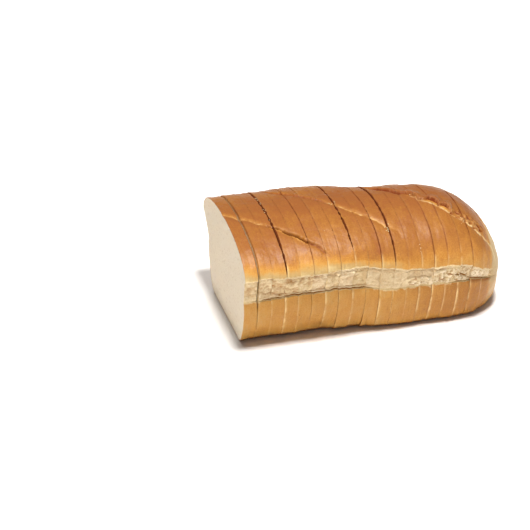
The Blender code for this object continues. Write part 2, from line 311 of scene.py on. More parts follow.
def dome_height(x, y):
    """Height of the unscored dome over places in plan."""
    near, far, top, ridge = measures(x, WHOLE_LOAF)
    y = ridge + (y - ridge) / closing(x, WIDTH_POWER)
    reach = np.where(y > ridge, far["lip"] - ridge, near["lip"] + ridge)
    lip_z = np.where(y > ridge, far["high"], near["high"]) + LIP_UP
    share = np.minimum(np.abs(y - ridge) / reach, 1)
    z = lip_z + (top - lip_z) * np.sqrt(1 - share * share)
    return NOSE_Z + (z - NOSE_Z) * closing(x, TOP_POWER)


def score_line(score):
    """Points of a score on the dome, from its far end to its near end."""
    t = np.arange(SCORE_STEPS + 1) / SCORE_STEPS
    x, y = (mix(far, near, t) for far, near in zip(score["far"], score["near"]))
    y = y + score["bow"] * np.sin(math.pi * t) + score["kink"] * bell(t, 0.93, 0.05)
    y = y + 0.0006 * swells(np.stack([x, y, np.zeros_like(x)], axis=-1), 0.011, 31, 3)
    return np.stack([x, y, dome_height(x, y)], axis=-1)


SCORE_LINES = {name: score_line(score) for name, score in SCORES.items()}


def beside_score(points, name):
    """Signed distance to a score, positive beyond it, and the share of its length."""
    line = SCORE_LINES[name]
    flat = points.reshape(-1, 3)
    blocks = np.array_split(flat, len(flat) // 4096 + 1)
    nearest = np.concatenate([np.sum((block[:, None] - line[None]) ** 2, axis=-1).argmin(axis=1)
                              for block in blocks])
    foot = line[nearest]
    tangent = line[np.minimum(nearest + 1, SCORE_STEPS)] - line[np.maximum(nearest - 1, 0)]
    tangent /= np.linalg.norm(tangent, axis=-1, keepdims=True)
    gap = flat - foot
    along = np.sum(gap * tangent, axis=-1)
    length = np.sqrt(np.maximum(np.sum(gap * gap, axis=-1) - along ** 2, 0))
    ended = (nearest == 0) | (nearest == SCORE_STEPS)
    length = np.where(ended, np.linalg.norm(gap, axis=-1), length)
    near_side = gap[:, 1] * tangent[:, 0] < gap[:, 0] * tangent[:, 1]
    across = np.where(near_side, -length, length)
    return (values.reshape(points.shape[:-1]) for values in (across, nearest / SCORE_STEPS))


def at_least(marks, name, values):
    marks[name] = np.maximum(marks[name], values)


def score_relief(points, marks):
    """Height that the scores add to the dome; writes their colours into marks."""
    relief = np.zeros(points.shape[:-1])
    x = points[..., 0]
    jag = 0.0005 * swells(points, 0.003, 83, 3)
    broken = np.clip(0.62 + 0.6 * swells(points, 0.0042, 81, 3), 0.1, 1.1)
    for name, score in SCORES.items():
        across, t = beside_score(points, name)
        if np.abs(across).min() > SCORE_REACH:
            continue
        ends = np.clip(np.minimum(8.0 * t, score["blunt"] * (1 - t)), 0, 1)
        across = across + jag
        if name == "third":
            relief += torn_score(points, marks, across, t, ends)
            continue
        split = (name == "first") * span(x, *FIRST_SPLIT)
        line, fold = (ends * ease(*score[part], x) for part in ("line", "fold"))
        pale = bell(across, -0.0003, 0.00085) * line * broken * (1 - split)
        lower_lip = bell(across, -0.0014, 0.001) * ends * split
        band = bell(across, 0.0016, 0.0014) * line
        crease = bell(across, 0, 0.001) * fold
        ridge = bell(across, 0.0022, 0.0013) * fold * broken
        slit = bell(across + 0.0005 * swells(points, 0.0018, 89), 0.0004, 0.00095) * split
        slit *= ease(-0.9, -0.2, swells(points, 0.0034, 85, 2))
        thin = score["thin"] * bell(across, 0.0002, 0.0009) * fold * broken
        if name == "second":
            thin *= ease(-0.8, 0.2, swells(points, 0.007, 87, 2))
        relief += 0.0004 * (lower_lip - pale) + 0.001 * (ridge - thin) - 0.0009 * crease
        relief -= 0.0055 * slit + 0.0007 * ends * bell(across, -0.0004, 0.003)
        # Painted shade and highlight of the fold: darker in its crease and paler on its ridge; the
        # slit and the thin crease are darkened as painted shade.
        marks["bake"] -= 0.6 * pale + 0.4 * lower_lip + 0.16 * band + 0.08 * ridge
        marks["bake"] += score["crease"] * crease
        at_least(marks, "crumb", 0.28 * pale * broken)
        at_least(marks, "hollow", np.maximum(slit, thin))
    return relief


# Where the last score tore into pockets: middle and half length as shares of the
# score's length, and how wide the pocket gapes under the flap.
POCKETS = ((0.405, 0.05, 0.0036), (0.533, 0.045, 0.006), (0.62, 0.04, 0.0056))
FLAP_EDGE, SILL = -0.0012, -0.0016             # across the score, beyond it and before it


def torn_score(points, marks, across, t, ends):
    """The last score tore wide open: a flap beyond it, pockets and crumb in it, with painted
    shade under the flap and in the pockets.
    """
    across = across + 0.0026 * bell(t, 0.69, 0.1)
    rough = swells(points, 0.003, 73, 3)
    grains = pores(points, 0.0019, 67, 0.9, 0.75)
    edge = 0.001 * ease(0.36, 0.3, t) + FLAP_EDGE
    arch = np.zeros_like(across)
    for middle, half, width in POCKETS:
        bulge = np.sqrt(np.maximum(1 - ((t - middle) / half) ** 2, 0))
        edge = np.maximum(edge, FLAP_EDGE + (width + 0.0004 * rough) * bulge)
        arch = np.maximum(arch, bulge)
    flap = ends * span(t, 0.1, 0.22, 0.655, 0.7)
    beyond = ease(edge - 0.0004, edge + 0.0005, across)
    rise = flap * beyond * mix(0.0013, 0.0024, arch) * bell(np.maximum(across, edge), edge, 0.0065)
    inside = flap * arch * ease(SILL - 0.0004, SILL + 0.0005, across) * (1 - beyond)
    up = np.clip((across - SILL) / (edge - SILL + 0.0003), 0, 1)
    early = ease(0.4, 0.34, t)
    crevice = flap * (1 - arch) * bell(across, edge - 0.0001, mix(0.0008, 0.0018, early))
    crevice *= ease(mix(-0.8, -1.2, early), mix(0.3, -0.2, early), rough) * ease(0.16, 0.22, t)
    relief = rise - 0.0016 * inside * ease(0.4, 1, up) - mix(0.0022, 0.003, early) * crevice
    relief -= 0.0006 * flap * ease(-0.006, -0.002, across) * (1 - beyond) * (1 - arch)
    # Painted shade: dark under the flap's edge, in the pockets and the crevice, and between the
    # strip's lumps.
    wall = 1.4 * flap * arch * span(across - edge, -0.0016, -0.0007, 0.0001, 0.0006)
    shade = 0.12 * inside * ease(0.4, 0.9, up) + wall * np.clip(0.9 + 0.5 * rough, 0, 1)
    ragged = bell(t, *POCKETS[0][:2]) * inside
    relief += 0.0012 * ragged * grains
    shade = np.maximum(shade * (1 - 0.7 * ragged), 0.85 * ragged * ease(0.12, 0, grains))
    rim = span(t, 0.4, 0.44, 0.655, 0.675) * bell(across, SILL - 0.0004, 0.0009)
    rim *= np.clip(0.75 + 0.6 * rough, 0.1, 1)
    relief += 0.0004 * rim
    marks["bake"] -= 0.46 * inside + 0.3 * ragged * grains
    # past the pockets it is a strip of loose crumb, with a cream edge on its near side
    spread = span(t, 0.645, 0.67, 0.86, 0.905)
    width = mix(0.0032, 0.0046, ease(0.66, 0.76, t)) + 0.0006 * rough
    far_edge, soft = 1.5 * width, 0.0005
    strip = spread * span(across, -width - soft, -width + soft, far_edge - soft, far_edge + soft)
    lumps = swells(points, 0.003, 69, 3)
    relief += strip * (0.001 * lumps - 0.0003)
    shade = np.maximum(shade, strip * 0.9 * ease(-0.05, -0.6, lumps))
    far_crack = spread * bell(across, far_edge + 0.0003, 0.0006) * ease(-0.5, 0.3, rough)
    shade = np.maximum(shade, 0.6 * far_crack)
    marks["bake"] -= strip * np.clip(0.02 + 0.2 * lumps, 0, 0.3)
    cream = ease(0.2, 0.7, lumps) * strip * mix(0.35, 1, ease(0.001, -0.002, across))
    line_place = mix(-width, -0.0004, ease(0.86, 0.97, t))
    line = bell(across, line_place + 0.0003 * rough, mix(0.00085, 0.0012, ease(0.82, 0.88, t)))
    line *= ease(0.665, 0.7, t) * np.clip(14.0 * (1 - t), 0, 1)
    line *= np.clip(mix(0.6, 1, ease(0.76, 0.8, t)) + 0.5 * rough, 0.1, 1)
    relief -= 0.0005 * line
    marks["bake"] -= 0.7 * line + 0.6 * rim
    at_least(marks, "crumb", np.maximum.reduce([0.2 * cream, 0.75 * line, 0.72 * rim]))
    shade = np.maximum(shade * (1 - 0.8 * line), 1.5 * crevice)
    at_least(marks, "hollow", np.clip(shade, 0, 1))
    return relief


# ---- the burst: torn crumb between the lower crust and the dome
# The main tear runs along it: place along the loaf, share of the way up, depth.
TEAR = ((-0.122, 0.27, 0.0006), (-0.104, 0.26, 0.001), (-0.092, 0.16, 0.0012),
        (-0.083, 0.03, 0.0014), (-0.04, 0.02, 0.0014), (-0.016, 0.03, 0.001),
        (-0.004, 0.08, 0.0003), (0.012, 0.2, 0.0003), (0.022, 0.52, 0.0006), (0.045, 0.48, 0.0008),
        (0.0459, 0.7, 0.0001), (0.047, 0.93, 0.0012), (0.0565, 0.93, 0.0012),
        (0.0577, 0.7, 0.0001), (0.059, 0.5, 0.0014), (0.069, 0.44, 0.0018), (0.0765, 0.24, 0.0018),
        (0.0812, 0.05, 0.0014), (0.087, 0.03, 0.0006), (0.1, 0.02, 0.0002))


def burst_relief(points, marks, wall_out):
    """Unevenness of the torn crumb on both long sides, and its painted shade."""
    x = points[..., 0]
    up = np.where(ON.wall, SHARE, 0) + np.where(ON.lip | ON.dome, 1, 0)
    wall = ON.wall * ease(0, 0.05, SHARE) + ON.lip * (1 - SHARE)
    wall = wall * (1 - ease(*BURST_END, x))
    places, levels, depths = zip(*TEAR)
    wander = 0.045 * swells(points * (1, 0, 0), 0.006, 113, 3)
    level = np.interp(x, places, levels) + wander
    depth = np.interp(x, places, depths)
    grainy = ease(0.014, 0.03, x)
    knobbly = span(x, -0.1, -0.085, -0.018, 0.004)
    below = ease(0.03, -0.03, up - level)
    own = points + 3.0 * wall_out
    folds = swells(own * (0.5, 1, 1), 0.0064, 101, 2)
    lumps = swells(own * (0.8, 1, 1), 0.0028, 102, 2)
    fine = swells(points, 0.0013, 103, 2)
    holes = pores(points, 0.0026, 107, 0.3 + 0.35 * grainy, 0.5)
    coarse_grains, fine_grains = swells(points, 0.002, 109, 3), swells(points, 0.0013, 110, 2)
    grains = mix(coarse_grains, fine_grains, ease(0.056, 0.06, x))
    relief = wall_out + 0.0007 * folds + 0.00045 * lumps + 0.00018 * fine
    relief -= (0.0006 + 0.0006 * grainy) * holes
    patchy = mix(0.35, 1, ease(-0.5, 0.3, swells(points, 0.004, 117, 2)))
    tear = bell(up, level, mix(0.03, 0.055, grainy)) * mix(1, patchy, grainy)
    relief -= depth * tear
    torn = grainy * np.maximum(below, 0.7 * ease(0.0455, 0.0475, x))
    sunk = span(x, 0.02, 0.026, 0.0454, 0.0466) * (1 - below)
    relief += torn * (0.0008 + 0.0008 * grains) - 0.001 * sunk
    rolled = bell(up, 0.9 + 0.6 * wander, 0.06) * knobbly
    knobs = pores(points, 0.0036, 115, 0.85, 0.75)
    relief += rolled * (0.0014 + 0.0018 * knobs)
    crease = bell(up, 0.74 + wander, 0.04) * knobbly * ease(-0.5, 0.3, swells(points, 0.009, 116))
    relief -= 0.0008 * crease
    eaves = bell(up, 0.97, 0.035) * span(x, -0.014, -0.004, 0.08, 0.095)
    relief -= 0.0006 * eaves
    # Painted shade: darker in the tear, the holes, the crease, the valleys between lumps, and under
    # the dome's lip.
    valleys = sum(weight * ease(0.3, -0.9, form)
                  for weight, form in ((0.36, lumps), (0.24, folds), (0.22, fine)))
    valleys *= mix(1.15, 0.55, ease(-0.06, -0.02, x)) * mix(1, 0.25, torn)
    valleys += 0.6 * torn * ease(-0.1, -0.8, grains) + 0.15 * sunk
    darkest = mix(0.9, 0.5, grainy * ease(0.06, 0.057, x)) * tear * depth / 0.0014
    shade = np.maximum.reduce([darkest, 0.6 * holes, 0.4 * crease, valleys,
                               0.45 * eaves * ease(-0.6, 0.3, fine)])
    at_least(marks, "hollow", np.minimum(wall * shade, 1))
    # Whiter where lumps, knobs and grains stand out: partly the torn crumb's own white, partly a
    # painted highlight on them.
    pale = np.maximum.reduce([
        0.3 * ease(0, 0.9, lumps), 0.5 * rolled * knobs,
        torn * np.clip(0.18 + 0.6 * grains, 0, 0.9),
        ease(0.077, 0.083, x) * np.clip(0.55 + 0.5 * grains, 0, 0.9)])
    at_least(marks, "white", wall * pale)
    return relief * wall


# ---- marks of baking and cutting that the colours follow
TOP_BAKE, UNDER_BAKE, TORN_BAKE = 0.86, 0.8, 0.05


def baked(points, tone_step):
    """How brown each place is, where crumb lies open, and the places in shade."""
    x, z = points[..., 0], points[..., 2]
    shape = points.shape[:-1]
    rise = np.broadcast_to(np.where(ON.dome, SHARE, 0), shape)
    further = ease(-0.03, 0.035, x)
    browning = ease(mix(0.005, -0.02, further), 0.39, rise + 0.05 * swells(points, 0.012, 120, 2))
    dome = mix(mix(0.1, 0.37, further), TOP_BAKE, browning) + 0.14 * ease(0.55, 1, rise)
    dome += 0.24 * bell(x, -0.012, 0.03) * span(rise, 0.09, 0.15, 0.24, 0.34)
    patches = 0.06 * swells(points, 0.022, 121, 2) + 0.03 * swells(points, 0.004, 123, 2)
    dome += patches * ease(0, 0.2, rise)
    lower = 0.38 + 0.18 * ease(-0.02, 0.08, x) + 0.06 * ease(0.03, 0.08, x)
    lower = lower + 0.05 * swells(points, 0.015, 125, 3) - 0.1 * ease(0.014, 0.004, z)
    lower -= 0.1 * ease(0.076, 0.09, x) * ease(0.026, 0.04, z)
    rolled = span(x, 0.0785, 0.083, 0.1035, 0.107) * ON.rim
    rolled = rolled * ease(0.22, 0.42, SHARE + 0.1 * swells(points, 0.004, 129, 2))
    # The top of the lower crust's rim is paler where it is not rolled: partly a paler crust edge,
    # partly a painted highlight where it catches the light.
    lower -= 0.14 * (1 - rolled) * ON.rim * ease(0.6, 0.95, SHARE)
    under = UNDER_BAKE + 0.08 * swells(points, 0.008, 127, 2)
    bake = np.where(ON.dome, dome, lower)
    bake = np.where(ON.corner, mix(under, lower, ease(0.3, 1, SHARE)), bake)
    bake = np.where(ON.base, under, bake)
    healed = ease(0.1, 0.107, x)
    between = ON.rim | ON.crack | ON.wall | ON.lip
    bake = np.where(between, mix(bake, TORN_BAKE, healed), bake)
    nose = 0.9 * ease(0.1005, 0.107, x) * ease(0.088, 0.06, z)
    bake = mix(bake, 0.09 + 0.13 * ease(0.052, 0.026, z) + 0.18 * ease(0.016, 0.003, z), nose)
    ragged = 0.35 * swells(points, 0.003, 128, 2)
    past_lip = ON.lip * SHARE + ON.dome * (1.0 + 28.0 * SHARE) + ragged
    above_rim = ON.rim * SHARE + (ON.crack | ON.wall) * 2.0 + 0.5 * ragged
    above_rim -= 0.9 * gape(x) * ON.rim
    crumb = np.where(ON.lip | ON.dome, ease(1.25, 0.85, past_lip), ease(0.55, 0.85, above_rim))
    crumb = crumb * (1 - 0.9 * healed)
    # Painted shade: dark in the crack where the burst gapes along the rim, and in the band under
    # the rolled rim, which is also the rolled crust's own darker brown.
    crack = ON.crack * span(SHARE, 0, 0.3, 0.6, 1) * gape(x)
    hollow = crack * ease(-1.3, 0.1, swells(points, 0.005, 130, 2))
    hollow = np.maximum(hollow, rolled * mix(0.2, 0.45, ease(0.28, 0.5, SHARE)))
    return {"bake": bake + tone_step, "crumb": crumb, "hollow": hollow, "white": np.zeros(shape)}


def crust_relief(points, marks):
    """Soft unevenness, fine wrinkles and small pits of the baked skin."""
    skin = np.where(ON.dome | ON.side | ON.rim, 1, 0)
    relief = 0.00045 * swells(points, 0.018, 131, 2) + 0.00014 * swells(points, 0.0045, 135, 2)
    drawn = ease(0.3, 0.05, SHARE) * ON.dome + 0.6 * ON.side
    relief += (0.00007 + 0.0001 * drawn) * swells(points * (1, 0.2, 0.2), 0.0016, 133, 2)
    pits = pores(points, 0.0044, 137, 0.3, 0.18)
    relief -= 0.0005 * np.sqrt(pits) * np.where(ON.dome, 0.35, 1)
    # The pits of the lower crust are darkened: painted shade in them.
    at_least(marks, "hollow", np.sqrt(pits) * np.where(ON.side, 0.8, 0))
    return relief * skin


# ---- how the slices differ
# Slices whose lower crust ends higher or lower than the loaf's line, and slices that show
# a strip of crumb beside their cut.
RIM_TRIMS = {0: -0.0003, 1: -0.0004, 3: 0.0008, 4: 0.0005, 5: 0.0007, 6: 0.0004, 10: -0.0006,
             12: -0.0006, 13: -0.0004, 14: 0.0026, 15: 0.0022, 16: 0.0018, 17: 0.0028, 18: 0.002}
CRUMB_STRIPS = {3: 1.5, 6: 1.5, 8: 1.5, 10: 1.5, 13: 1.5, 14: 1.5, 15: 0.9, 16: 1.5, 17: 0.9,
                18: 0.9}

LEANS, RISES = zip(*[stand for size, *stand in GROUPS for _ in range(size)], (HEEL_LEAN, 0))
rng = random.Random(SLICE_COUNT)


def one_each(low, high):
    """A random value for each slice and one for the heel."""
    return [rng.uniform(low, high) for _ in range(SLICE_COUNT + 1)]


STEPS = [{"out": rng.uniform(-SLICE_SHIFT, SLICE_SHIFT),
          "low": rng.uniform(-EDGE_SHIFT, EDGE_SHIFT),
          "high": rng.uniform(-EDGE_SHIFT, EDGE_SHIFT), "rise": rise} for rise in RISES]
TONES, WALL_STEPS, FOOT_STEPS = (one_each(-most, most) for most in (0.035, 0.0007, 0.001))
EDGE_WEAR, WALL_TONES = one_each(0.1, 0.6), one_each(0, 0.35)
for number, trim in RIM_TRIMS.items():
    STEPS[number]["low"] += trim
for number, wear in CRUMB_STRIPS.items():
    EDGE_WEAR[number] = wear
for values in (STEPS, TONES, WALL_STEPS, FOOT_STEPS, WALL_TONES):
    values[-1] = values[-2]                    # the heel goes with the last slice

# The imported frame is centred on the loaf's box in plan; the middle slice gives the shift.
MIDDLE_SLICE, SOLID_HALF_GAP = 10, 0.00015
probe_start = CUT_FACE_X + MIDDLE_SLICE * SLICE_PITCH + SOLID_HALF_GAP
probe_x = np.linspace(probe_start, probe_start + SLICE_PITCH - 2.0 * SOLID_HALF_GAP, 4)
probe_y = sections(probe_x, STEPS[MIDDLE_SLICE])[..., 1].min()
probe_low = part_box(f"slice_{MIDDLE_SLICE + 1:02d}")[0]
SHIFT = np.array([probe_low.x - probe_start, probe_low.y - probe_y, 0.0])

# Gap at each cut: (least gap, gap at the top, height where it starts to open, full height).
STUCK = (0.00004, 0.00008, 0.06, 0.1)
AJAR = (0.00005, 0.00016, 0.07, 0.095)
TOUCHING = 0.00002
WIDE_CUTS = (1, 3, 8, 11)
GAPS = {
    1: (0.00045, 0.0022, 0.034, 0.05), 3: (0.00008, 0.0021, 0.066, 0.086),
    5: (0.00004, 0.0004, 0.078, 0.094), 6: (0.00014, 0.00016, 0.06, 0.09),
    8: (0.00005, 0.0024, 0.08, 0.094), 10: (0.00004, 0.0003, 0.07, 0.092),
    11: (0.00006, 0.0014, 0.061, 0.084), 13: AJAR, 14: (0.00004, 0.00012, 0.062, 0.088),
    15: AJAR, 17: (0.00004, 0.0004, 0.074, 0.088), 19: (0.00004, 0.00004, 0.06, 0.09),
}
# How dark each cut's gap is painted on the crust beside it, as painted shade; the others hardly
# show.
CUT_SHADES = {5: 0.5, 6: 0.3, 10: 0.8, 11: 0.7, 12: 0.2, 13: 0.35, 14: 0.8, 15: 0.7, 17: 0.9}
PLAIN_CUT_SHADE = 0.08


def cut_plane(cut, points):
    """Shift along X of a knife cut, counted from the open end: the middle of its gap, and
    half of the gap."""
    z = points[..., 2]
    if cut == 0:
        return LEANS[0] * z / LOAF_HEIGHT, np.full_like(z, SOLID_HALF_GAP)
    least, most, start, stop = GAPS.get(cut, STUCK)
    if cut > 1:
        most = most * (0.4 + 0.6 * ease(-0.7, 0.3, swells(points * (0, 1, 1), 0.004, 171, 2)))
    lean = 0.5 * (LEANS[cut - 1] + LEANS[cut])
    return lean * z / LOAF_HEIGHT, 0.5 * mix(least, most, ease(start, stop, z))


def dress(points, number, place, length):
    """Add all relief to the bare form, and return it with its marks."""
    normal = outward(points)
    marks = baked(points, TONES[number])
    relief = crust_relief(points, marks) + burst_relief(points, marks, WALL_STEPS[number])
    at_least(marks, "white", WALL_TONES[number] * (ON.wall | ON.lip))
    scored = score_relief(points, marks) * np.where(ON.dome, ease(0, 0.06, SHARE), 0)
    low_down = ON.corner * SHARE + ON.side * (1 - SHARE) ** 2
    wander = swells(points * (1, 0, 0), 0.008, 139, 3)
    relief += low_down * (FOOT_STEPS[number] + 0.0009 * wander)
    relief = (relief + scored) * np.minimum(1, 1.6 * closing(points[..., 0], WIDTH_POWER))
    place, left_over = place[:, None], (length - place)[:, None]
    # a crust edge is drawn in a little, and frays, where the knife went through
    near_cut = bell(np.minimum(place, left_over), 0, 0.0003)
    sunk = np.where(ON.wall | ON.crack, 0.00008, np.where(ON.dome, 0.0001, 0.00024))
    relief -= near_cut * sunk * np.clip(0.4 + 0.7 * swells(points, 0.005, 141, 3), 0, 1.3)
    frayed = 0.00012 * near_cut * np.sign(left_over - place)
    frayed = frayed * np.abs(swells(points, 0.0015, 143, 2))
    worn = np.clip(0.55 + 0.6 * swells(points + number, 0.0065, 145, 3), 0, 1)
    worn *= np.where(ON.dome, mix(0.55, 0.04, ease(0.1, 0.3, SHARE)), 1)
    worn *= mix(0.25, 1, ease(0.004, 0.02, points[..., 2] + 0.006 * swells(points, 0.009, 147)))
    wear = EDGE_WEAR[number]
    at_edges = np.maximum(bell(place, 0, 0.0005 + 0.0005 * wear), 0.3 * bell(left_over, 0, 0.0005))
    marks["edge"] = np.minimum(wear * worn * at_edges, 1.2)
    marks["bake"] += 0.05 * (place / length - 0.5)
    # Painted shade of the cuts' gaps, darkening the dome's crust along them.
    cut_shade = CUT_SHADES.get(number, PLAIN_CUT_SHADE) * bell(place, 0, 0.0006)
    cut_shade = cut_shade + CUT_SHADES.get(number + 1, PLAIN_CUT_SHADE) * bell(left_over, 0, 0.0005)
    cut_shade = cut_shade * np.clip(0.75 + 0.5 * swells(points, 0.007, 149, 2), 0, 1)
    at_least(marks, "hollow", ON.dome * 0.95 * cut_shade * ease(0, 0.12, SHARE))
    shaped = points + normal * relief[..., None]
    shaped[..., 0] += frayed
    shaped[..., 2] = np.where(ON.base | ON.corner, np.maximum(shaped[..., 2], 0), shaped[..., 2])
    return shaped, marks


# ---- the cut faces
PLAIN_INSETS = (0.0005, 0.0012, 0.0035)
FINE_INSETS = (0.0003, 0.0006, 0.0009, 0.0013, 0.0018)
FINE_RINGS = 72
FACE_MIDDLE_Z = 0.046
# Depths inside a cut face from which it is all crumb, and up to which it is all crust.
# The closed cuts' crust runs far in, so the crumb seen in their narrow gaps shows brown: partly
# crust, partly painted shade.
CLOSED_RIND, HEEL_RIND = (0.007, 0.003), (0.004, 0.0012)
RINDS = {0: (0.0011, 0.0002), 1: (0.004, 0.0012)}


def face_points(rim, insets, rings_within):
    """Rings of a cut face and its middle point: some at fixed insets, some by share. Also
    how far inside the rim each point lies."""
    centre = np.array([0.0, 0.5 * (rim[:, 1].min() + rim[:, 1].max()), FACE_MIDDLE_Z])
    spoke = (rim - centre) * (0, 1, 1)
    length = np.linalg.norm(spoke, axis=1, keepdims=True)
    shares = [inset / length for inset in insets]
    shares += [mix(shares[-1], 1, ring / (rings_within + 1)) for ring in range(1, rings_within + 1)]
    middle = [rim[:, 0].mean(), *centre[1:]]
    points = np.concatenate([rim - spoke * share for share in shares] + [[middle]])
    return points, np.append(np.concatenate([length * share for share in shares]), 1)


def close_ring(points, marks, ring, size, offset, levels):
    """What closes the crust's ring 0 or -1: levels of inner rings and a middle point.
    Without inner rings it is crust, as on the nose, else the crumb of a cut face."""
    i = np.arange(len(STRETCH))
    k = (i + 1) % len(i)
    rim_start, first = size - len(i) if ring else 0, size + offset
    starts = [rim_start] + [first + level * len(i) for level in range(levels)]
    quads = [np.stack([a + i, a + k, b + k, b + i], axis=-1) for a, b in zip(starts, starts[1:])]
    quads = np.concatenate(quads + [np.empty((0, 4), int)])
    middle = np.full(len(i), first + levels * len(i))
    fan = np.stack([starts[-1] + i, starts[-1] + k, middle], axis=-1)
    turn = slice(None, None, -1 if ring else 1)
    return SimpleNamespace(points=points, marks=marks, quads=quads[:, turn], fan=fan[:, turn],
                           kind=int(levels > 0), rim=rim_start + i if levels else [])


def roughen_open_face(points, depth):
    """Level the open face to the knife's plane and open its pores; returns their shade."""
    level = CUT_FACE_X + sum(cut_plane(0, points))
    points[:, 0] = mix(points[:, 0], level, ease(0, 0.01, depth))
    holes = pores(points, 0.0021, 151, 0.55, 0.55)
    small = pores(points, 0.0009, 157, 0.6, 0.6)
    off_middle = np.linalg.norm((points - points[-1])[:, 1:], axis=1)
    inner = ease(0, 0.0015, depth) * ease(0.001, 0.006, off_middle)
    grain = 0.00008 * swells(points, 0.0035, 161, 2)
    points[:, 0] += inner * (0.00045 * holes + 0.00016 * small + grain)
    return inner * (0.5 * holes + 0.2 * small)


def cut_face(shaped, marks, cut, half_gap, offset, ring, rind=CLOSED_RIND):
    """Close the cut face at the ring 0 or -1. Its soft crumb bulges into the gap and meets
    again further in; just inside the knife's cut it is brown, crust that in the closed
    cuts is darkened further by painted shade of the gap."""
    insets, within = (FINE_INSETS, FINE_RINGS) if cut == 0 else (PLAIN_INSETS, 0)
    levels = len(insets) + within
    points, depth = face_points(shaped[ring], insets, within)
    hollow = np.zeros(len(points))
    rind = ease(*RINDS.get(cut, rind), depth)
    face = {title: np.append(np.tile(values[ring], levels), values[ring].mean())
            for title, values in marks.items()}
    if cut == 0:
        hollow = roughen_open_face(points, depth)
    else:
        reach = np.append(np.tile(half_gap[ring], levels), half_gap[ring].min()) - TOUCHING
        bulge = reach * ease(0, 0.0026 if cut in WIDE_CUTS else 0.0012, depth)
        points[:, 0] += bulge if ring else -bulge
    # The closed cuts' walls are darkened as painted shade of their narrow gaps.
    if cut > 1:
        brown = (0.85 if cut in WIDE_CUTS else 0.6) * rind
        hollow = np.maximum(hollow, brown * (1 - 0.65 * face["crumb"]))
    face.update(crumb=np.maximum(face["crumb"], 1 - rind), hollow=hollow, white=1 - rind,
                edge=np.zeros(len(points)))
    return close_ring(points, face, ring, marks["bake"].size, offset, levels)


def put_in_scene(name, data):
    made = bpy.data.objects.new(name, data)
    bpy.context.scene.collection.objects.link(made)
    return made


def lay_mesh(name, shaped, marks, closings):
    """Join the crust and what closes it in one mesh. Each mark becomes a value on the
    vertices for the materials, and the cuts' rims stay sharp."""
    stations, count = shaped.shape[:2]
    j, i = np.meshgrid(np.arange(stations - 1) * count, np.arange(count), indexing="ij")
    k = (i + 1) % count
    sides = np.stack([j + i, j + count + i, j + count + k, j + k], axis=-1).reshape(-1, 4)
    crust = SimpleNamespace(
        points=shaped.reshape(-1, 3), quads=sides, fan=np.empty((0, 3), int), kind=0, rim=[],
        marks={title: values.ravel() for title, values in marks.items()})
    parts = (crust, *closings)
    points, quads, fans, rims = (np.concatenate([getattr(part, name) for part in parts])
                                 for name in ("points", "quads", "fan", "rim"))
    kinds = np.concatenate([np.full(len(getattr(part, name)), part.kind)
                            for name in ("quads", "fan") for part in parts])
    mesh = bpy.data.meshes.new(name)
    mesh.from_pydata(points + SHIFT, [], quads.tolist() + fans.tolist(), shade_flat=False)
    mesh.polygons.foreach_set("material_index", kinds.astype(np.int32))
    ends = np.empty(2 * len(mesh.edges), np.int32)
    mesh.edges.foreach_get("vertices", ends)
    on_rim = np.isin(ends.reshape(-1, 2), rims).all(axis=1)
    mesh.attributes.new("sharp_edge", "BOOLEAN", "EDGE").data.foreach_set("value", on_rim)
    for title in marks:
        values = np.concatenate([part.marks[title] for part in parts])
        attribute = mesh.attributes.new(title, "FLOAT", "POINT")
        attribute.data.foreach_set("value", values.astype(np.float32))
    mesh.validate()
    for material in (CRUST, CRUMB):
        mesh.materials.append(material)
    return put_in_scene(name, mesh)


# Places along a slice's thickness, close together at its knife cuts.
SLICE_PLACES = np.concatenate([
    EDGE_STATIONS[:-1],
    np.linspace(EDGE_STATIONS[-1], SLICE_PITCH - EDGE_STATIONS[-1], INNER_STATIONS),
    SLICE_PITCH - np.array(EDGE_STATIONS[-2::-1])])


def cut_slice(number):
    """Build one slice with its crust, its burst and both of its cut faces."""
    points = sections(CUT_FACE_X + number * SLICE_PITCH + SLICE_PLACES, STEPS[number])
    shaped, marks = dress(points, number, SLICE_PLACES, SLICE_PITCH)
    left_shift, left_gap = cut_plane(number, shaped)
    right_shift, right_gap = cut_plane(number + 1, shaped)
    across = (SLICE_PLACES / SLICE_PITCH)[:, None]
    shaped[..., 0] += mix(left_shift + left_gap, right_shift - right_gap, across)
    left = cut_face(shaped, marks, number, left_gap, 0, 0)
    right = cut_face(shaped, marks, number + 1, right_gap, len(left.points), -1)
    piece = lay_mesh(f"bread_slice_{number + 1:02d}", shaped, marks, (left, right))
    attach(piece, "root")
    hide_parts(f"slice_{number + 1:02d}")


# ---- crust and crumb
def tone(red, green, blue):
    """A colour as it looks on a screen, 0 to 255, as light for a shader."""
    shares = [channel / 255.0 for channel in (red, green, blue)]
    return (*(c / 12.92 if c <= 0.04045 else ((c + 0.055) / 1.055) ** 2.4 for c in shares), 1)


def feed(node, inputs):
    """Set a shader node's inputs, each to a value or to another node's socket."""
    for key, value in inputs.items():
        if isinstance(value, bpy.types.NodeSocket):
            node.id_data.links.new(value, node.inputs[key])
        else:
            node.inputs[key].default_value = value
    return node


def add(tree, kind, inputs=None, **settings):
    made = tree.nodes.new("ShaderNode" + kind)
    for key, value in settings.items():
        setattr(made, key, value)
    return feed(made, inputs or {})


def group_of(name, **sockets):
    """An empty shader node group with named sockets: its tree, its inputs and its end."""
    tree = bpy.data.node_groups.new(name, "ShaderNodeTree")
    for title, (side, kind) in sockets.items():
        tree.interface.new_socket(title, in_out=side, socket_type="NodeSocket" + kind)
    return tree, tree.nodes.new("NodeGroupInput").outputs, tree.nodes.new("NodeGroupOutput")


